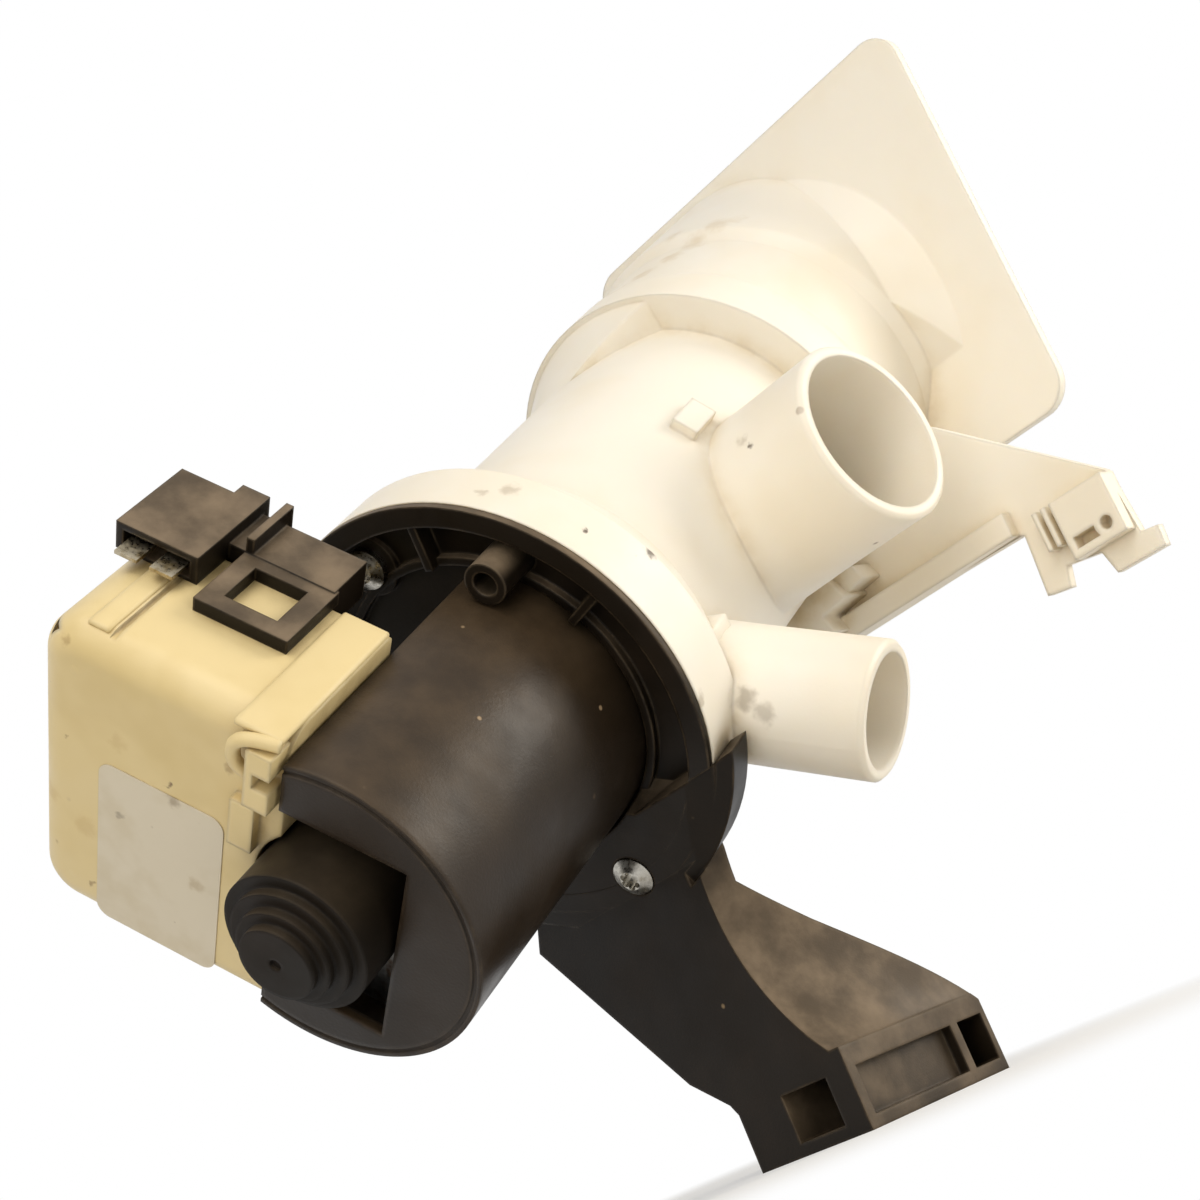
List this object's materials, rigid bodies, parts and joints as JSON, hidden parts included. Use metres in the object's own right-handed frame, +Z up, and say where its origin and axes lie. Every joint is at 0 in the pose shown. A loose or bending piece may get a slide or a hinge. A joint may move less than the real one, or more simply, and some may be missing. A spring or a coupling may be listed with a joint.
{
  "type": "washer drain pump",
  "caption": "Front-loader drain pump: U-frame magnet motor, black flange with clip-on foot, white filter housing with hose spigots, tilted front plate and side arm.",
  "frame": {"origin": "where the pump axis meets the front face of the front plate, in the filter opening", "axes": "+Z up as mounted, -Y out of the washer's front through the filter opening, +X to the right seen from the front; the pump axis rises 28.75 degrees towards the front"},
  "size_m": [0.1507, 0.2185, 0.2297],
  "materials": {
    "housing_white": "moulded polypropylene, slightly yellowed",
    "flange_black": "satin glass-filled nylon",
    "coil_cream": "pale cream moulded polyester, stained",
    "screw_steel": "zinc-plated",
    "bright_steel": "ground",
    "seal_rubber": "moulded",
    "magnet": "sintered ferrite",
    "bronze": "sintered",
    "lamination": "stamped laminations",
    "copper": "enamelled wire",
    "impeller_plastic": "moulded",
    "filter_grey": "moulded",
    "label_paper": "bare printed stock",
    "blade_tin": "tinned brass"
  },
  "bodies": {
    "pump_body": {"trap_housing": "housing_white", "pump_flange": "flange_black", "flange_screws": "screw_steel", "flange_gasket": "seal_rubber", "rotor_can": "flange_black", "can_seal": "seal_rubber", "rear_cushion": "seal_rubber", "rear_bearing": "bronze", "bearing_holder": "impeller_plastic", "front_bearing": "bronze", "shaft_seal": "seal_rubber", "motor_cover": "flange_black", "coil_block": "coil_cream", "stator_core": "lamination", "bobbin_upper": "impeller_plastic", "bobbin_lower": "impeller_plastic", "winding_upper": "copper", "winding_lower": "copper", "rating_label": "label_paper", "terminal_housing": "flange_black", "terminal_blades": "blade_tin"},
    "rotor": {"rotor_magnet": "magnet", "rotor_shaft": "bright_steel", "drive_dog": "impeller_plastic"},
    "impeller": {"impeller": "impeller_plastic"},
    "filter": {"filter_basket": "filter_grey"},
    "cap": {"filter_cap": "filter_grey", "cap_seal": "seal_rubber"}
  },
  "joints": [
    {"name": "rotor_spin", "type": "hinge", "parent": "pump_body", "child": "rotor", "pos_m": [0, 0.14015, -0.07689], "axis": [0, -0.8767, 0.481], "continuous": true},
    {"name": "impeller_lash", "type": "hinge", "parent": "rotor", "child": "impeller", "pos_m": [0, 0.12261, -0.06727], "axis": [0, -0.8767, 0.481], "range_deg": [-125, 125]},
    {"name": "filter_draw", "type": "slide", "parent": "pump_body", "child": "filter", "axis": [0, -0.8767, 0.481], "range_m": [0, 0.11]},
    {"name": "cap_turn", "type": "hinge", "parent": "filter", "child": "cap", "pos_m": [0, 0.03494, -0.01917], "axis": [0, -0.8767, 0.481], "range_deg": [0, 45]}
  ]
}
